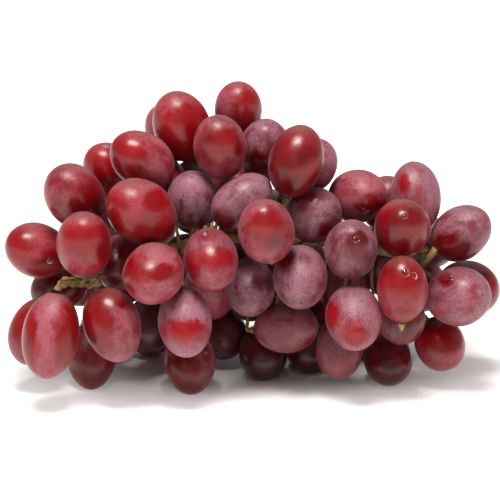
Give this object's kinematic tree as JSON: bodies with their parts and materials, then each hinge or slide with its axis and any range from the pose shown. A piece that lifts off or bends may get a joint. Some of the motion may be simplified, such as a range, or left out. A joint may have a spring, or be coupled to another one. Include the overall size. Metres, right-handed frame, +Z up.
{
  "type": "bunch of grapes",
  "caption": "A full bunch of elongated red table grapes lying on its side, with a dusty bloom on the skins and the branched stem glimpsed between the berries.",
  "frame": {"origin": "middle of the underside of the bunch, on the surface it lies on", "axes": "+X along the bunch, towards its thinner tip; +Y towards the back, where the cut stalk is; +Z up"},
  "size_m": [0.166, 0.0984, 0.1012],
  "materials": {
    "skin_red": "smooth waxy skin, bright red",
    "skin_bloom": "waxy skin under a pale rose bloom",
    "skin_deep": "waxy skin, deep maroon",
    "stem": "matt, fibrous, tan to olive"
  },
  "bodies": {
    "root": {"back_cluster_1": "skin_deep", "back_cluster_10": "skin_deep", "back_cluster_11": "skin_deep", "back_cluster_2": "skin_deep", "back_cluster_3": "skin_deep", "back_cluster_4": "skin_deep", "back_cluster_5": "skin_deep", "back_cluster_6": "skin_deep", "back_cluster_7": "skin_deep", "back_cluster_8": "skin_deep", "back_cluster_9": "skin_deep", "crown_berry_1": "skin_red", "crown_berry_2": "skin_red", "crown_berry_3": "skin_red", "crown_berry_4": "skin_red", "crown_berry_5": "skin_red", "crown_berry_6": "skin_red", "crown_berry_7": "skin_red", "crown_berry_8": "skin_red", "crown_berry_9": "skin_red", "foot_berry_1": "skin_deep", "foot_berry_2": "skin_deep", "foot_berry_3": "skin_deep", "foot_berry_4": "skin_deep", "foot_berry_5": "skin_deep", "foot_berry_6": "skin_deep", "foot_berry_7": "skin_deep", "foot_berry_8": "skin_deep", "left_shoulder_berry_1": "skin_red", "left_shoulder_berry_2": "skin_red", "left_shoulder_berry_3": "skin_red", "left_shoulder_berry_4": "skin_red", "left_shoulder_berry_5": "skin_red", "left_tip_berry_1": "skin_red", "left_tip_berry_2": "skin_red", "left_tip_berry_3": "skin_red", "left_tip_berry_4": "skin_red", "left_tip_berry_5": "skin_red", "left_tip_berry_6": "skin_red", "left_tip_berry_7": "skin_red", "middle_berry_1": "skin_bloom", "middle_berry_2": "skin_bloom", "middle_berry_3": "skin_bloom", "middle_berry_4": "skin_bloom", "middle_berry_5": "skin_bloom", "middle_berry_6": "skin_bloom", "middle_berry_7": "skin_bloom", "middle_berry_8": "skin_bloom", "rachis": "stem", "right_shoulder_berry_1": "skin_red", "right_shoulder_berry_2": "skin_red", "right_shoulder_berry_3": "skin_red", "right_shoulder_berry_4": "skin_red", "right_tip_berry_1": "skin_bloom", "right_tip_berry_2": "skin_bloom", "right_tip_berry_3": "skin_bloom", "right_tip_berry_4": "skin_bloom", "right_tip_berry_5": "skin_bloom", "right_tip_berry_6": "skin_bloom", "right_tip_berry_7": "skin_bloom"}
  },
  "joints": []
}
